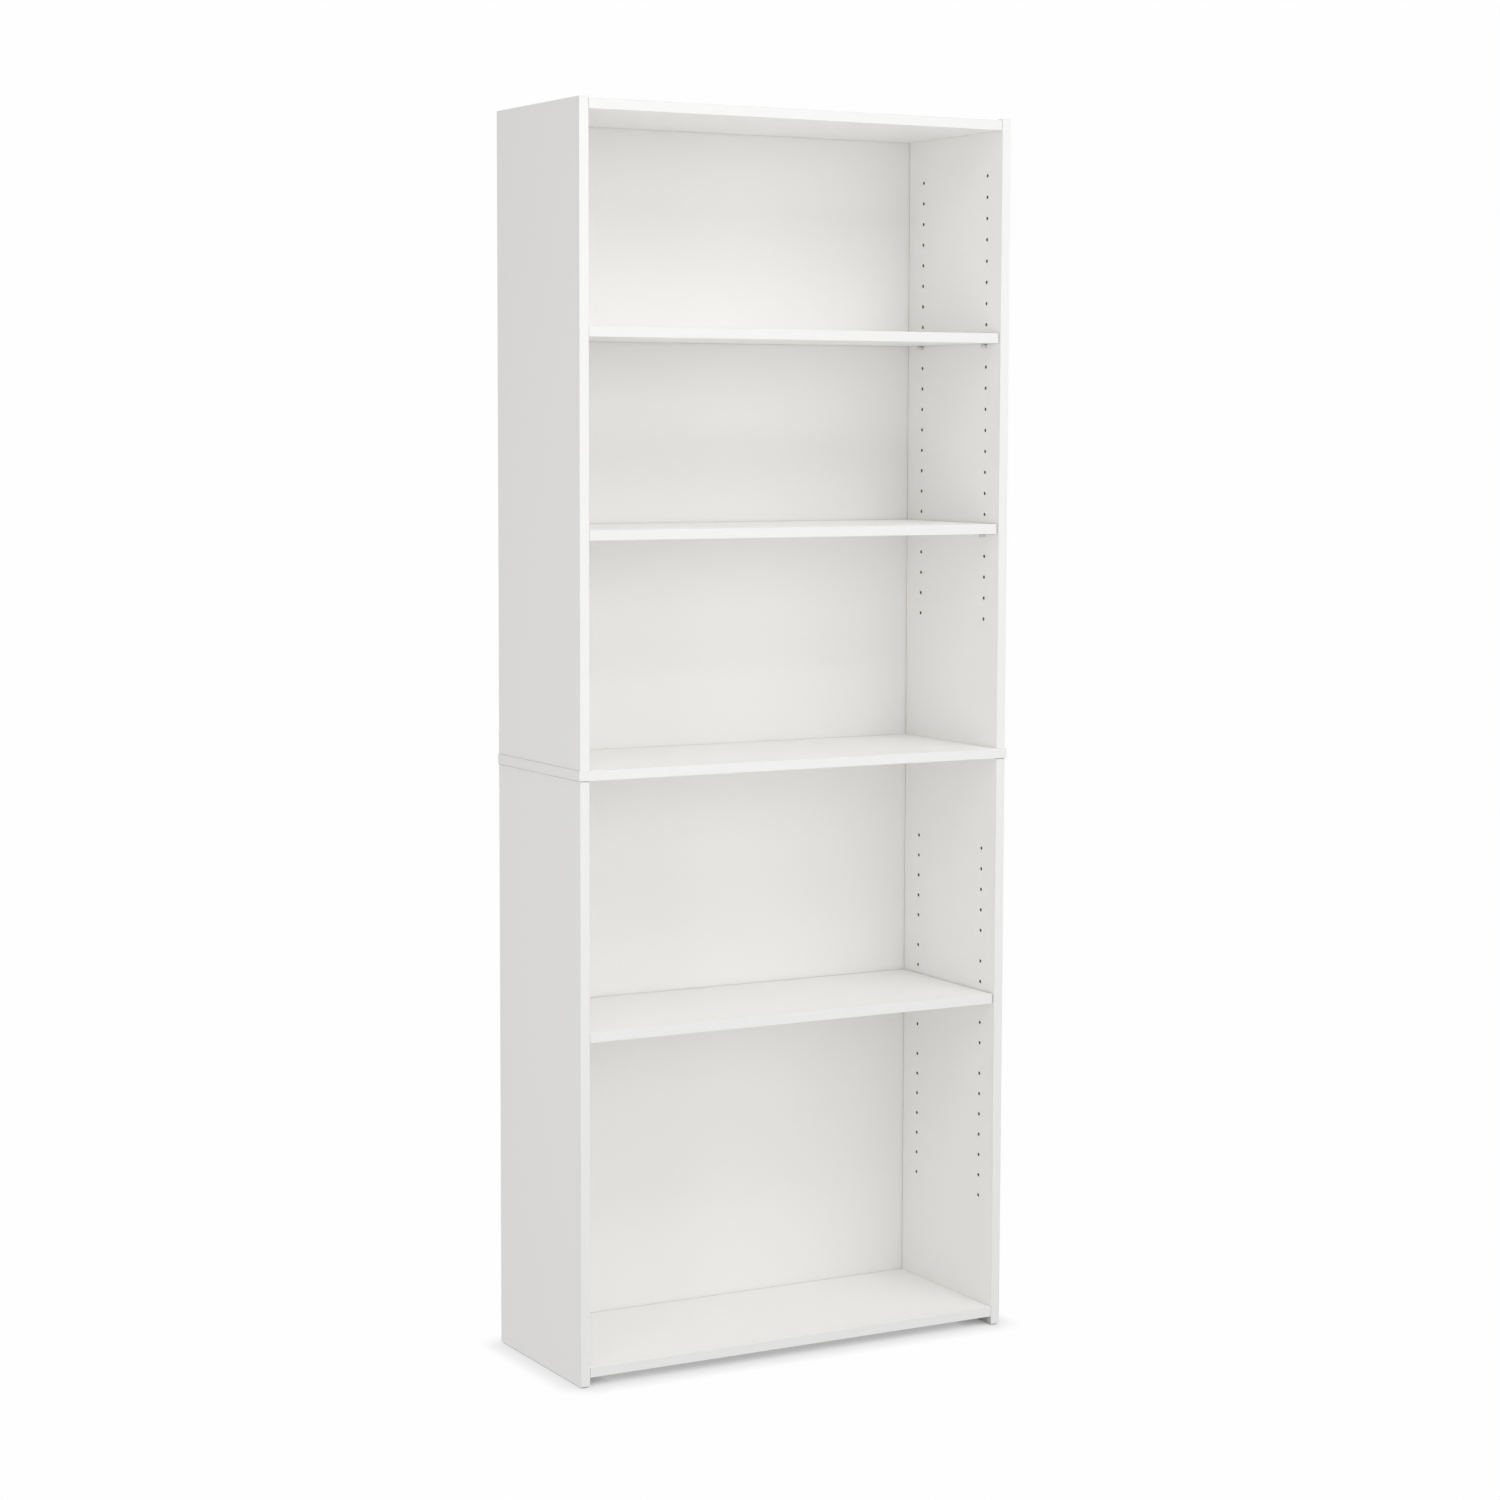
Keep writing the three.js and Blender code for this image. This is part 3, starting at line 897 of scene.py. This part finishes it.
# How open the sky is over a point of the floor, and how bright the floor is painted there: a painted
# contact shadow.
SHADE = ((0, 0.05), (0.1, 0.36), (0.16, 0.57), (0.3, 0.72), (0.6, 0.82), (0.8, 0.885), (1, 1))
FILL = 0.51  # the world's light on the bookcase


def floor_paper(name, bounce):
    """White paper, overexposed: its contact shade is painted into its glow from an ambient-occlusion
    node, and shows only within a few centimetres of what touches it.
    """
    n = Nodes(name)
    n.tree.nodes.remove(n.surface)
    openness = n.add("ShaderNodeAmbientOcclusion", {"Distance": SHADE_REACH}, samples=16).outputs["AO"]
    paper = n.add("ShaderNodeEmission", {"Color": n.ramp(openness, SHADE), "Strength": FLOOR_WHITE})
    lighting = n.add("ShaderNodeEmission", {"Strength": bounce})
    seen = n.add("ShaderNodeLightPath").outputs["Is Camera Ray"]
    mix = n.add("ShaderNodeMixShader", {0: seen, 1: lighting.outputs[0], 2: paper.outputs[0]})
    n.tree.links.new(mix.outputs[0], n.tree.nodes["Material Output"].inputs["Surface"])
    return n.material


def make_floor():
    """The floor, with a dimmer patch of its own under the bookcase: painted shade, so that hardly any
    light comes back up there.
    """
    low, high = box("lower_end_left")[0], box("lower_end_right")[1]
    bm = bmesh.new()
    inner, outer = [], []
    for x_sign, y_sign in ((-1, -1), (1, -1), (1, 1), (-1, 1)):
        near = ((low if x_sign < 0 else high).x, (low if y_sign < 0 else high).y, 0)
        inner.append(bm.verts.new(near))
        outer.append(bm.verts.new((x_sign * FLOOR_REACH, y_sign * FLOOR_REACH, 0)))
    bm.faces.new(inner).material_index = 1
    for corner in range(4):
        after = (corner + 1) % 4
        bm.faces.new((outer[corner], outer[after], inner[after], inner[corner]))
    papers = floor_paper("floor_paper", FLOOR_BOUNCE), floor_paper("floor_paper_under", UNDER_BOUNCE)
    floor = bpy.data.objects.new("floor", to_mesh(bm, "floor", papers))
    bpy.context.scene.collection.objects.link(floor)


def make_world():
    """Even fill, and plain white where the camera looks past the floor."""
    world = bpy.data.worlds.new("studio")
    bpy.context.scene.world = world
    world.use_nodes = True
    nodes, links = world.node_tree.nodes, world.node_tree.links
    fill = nodes["Background"]
    fill.inputs["Strength"].default_value = FILL
    surround = nodes.new("ShaderNodeBackground")
    surround.inputs["Strength"].default_value = FLOOR_WHITE
    for background in (fill, surround):
        background.inputs["Color"].default_value = (1, 1, 1, 1)
    seen = nodes.new("ShaderNodeLightPath")
    mix = nodes.new("ShaderNodeMixShader")
    links.new(seen.outputs["Is Camera Ray"], mix.inputs[0])
    links.new(fill.outputs[0], mix.inputs[1])
    links.new(surround.outputs[0], mix.inputs[2])
    links.new(mix.outputs[0], nodes["World Output"].inputs["Surface"])


def soft_sun(name, come_from, spread, strength):
    """Light from far off in one direction, as wide as spread degrees of the sky."""
    light = bpy.data.lights.new(name, "SUN")
    light.angle, light.energy = math.radians(spread), strength
    lamp = bpy.data.objects.new(name, light)
    bpy.context.scene.collection.objects.link(lamp)
    turn = (-Vector(come_from)).to_track_quat("-Z", "Y").to_matrix().to_4x4()
    lamp.matrix_world = Matrix.Translation(Vector(come_from).normalized() * SUN_STAND_OFF) @ turn


def soft_box(name, at, aim, width, height, power):
    """A rectangular lamp that the camera doesn't see."""
    light = bpy.data.lights.new(name, "AREA")
    light.shape = "RECTANGLE"
    light.size, light.size_y, light.energy = width, height, power
    lamp = bpy.data.objects.new(name, light)
    lamp.visible_camera = False
    bpy.context.scene.collection.objects.link(lamp)
    away = Vector(aim) - Vector(at)
    lamp.matrix_world = Matrix.Translation(at) @ away.to_track_quat("-Z", "Y").to_matrix().to_4x4()


def make_camera():
    data = bpy.data.cameras.new("camera")
    data.sensor_width, data.lens, data.shift_y = CAMERA_SENSOR, CAMERA_LENS, CAMERA_SHIFT
    camera = bpy.data.objects.new("camera", data)
    bpy.context.scene.collection.objects.link(camera)
    camera.matrix_world = (
        Matrix.Translation(CAMERA_PLACE)
        @ Matrix.Rotation(-CAMERA_YAW, 4, "Z")
        @ Matrix.Rotation(math.pi / 2 - CAMERA_DIP, 4, "X")
        @ Matrix.Rotation(CAMERA_ROLL, 4, "Z")
    )
    bpy.context.scene.camera = camera


make_camera()
make_floor()
make_world()
soft_sun("high_front", (0.0, -0.6, 1.0), spread=50, strength=0.52)
soft_sun("right_front", (0.8, -1.0, 0.12), spread=30, strength=0.32)
soft_box("front_box", (1.1, -5.0, 2.6), (0, 0, 1.0), width=2.6, height=1.8, power=22.5)
soft_box("top_box", (0, -1.8, 3.0), (0, 0, 1.5), width=2.0, height=0.8, power=13)
soft_box("left_strip", (-2.1, -1.35, 1.0), (-0.36, 0, 0.95), width=0.7, height=2.2, power=7.0)
soft_box("upward_fill", (0, -1.2, 0.7), (0, 0, 1.85), width=1.4, height=0.4, power=1.4)
bpy.context.scene.view_settings.view_transform = "Standard"

for side_name in SIDES:
    for case_name in ("upper", "lower"):
        end_board(case_name, side_name)
cam_panel("top_panel", "up")
cam_panel("bottom_panel", "down")
middle_board()
for shelf_level in LEVELS:
    adjustable_board(shelf_level)
for sheet_name in ("upper_back", "lower_back"):
    back_sheet(sheet_name)
shelf_pins()
cam_fasteners()
dowels()
glides()
joining_plates()
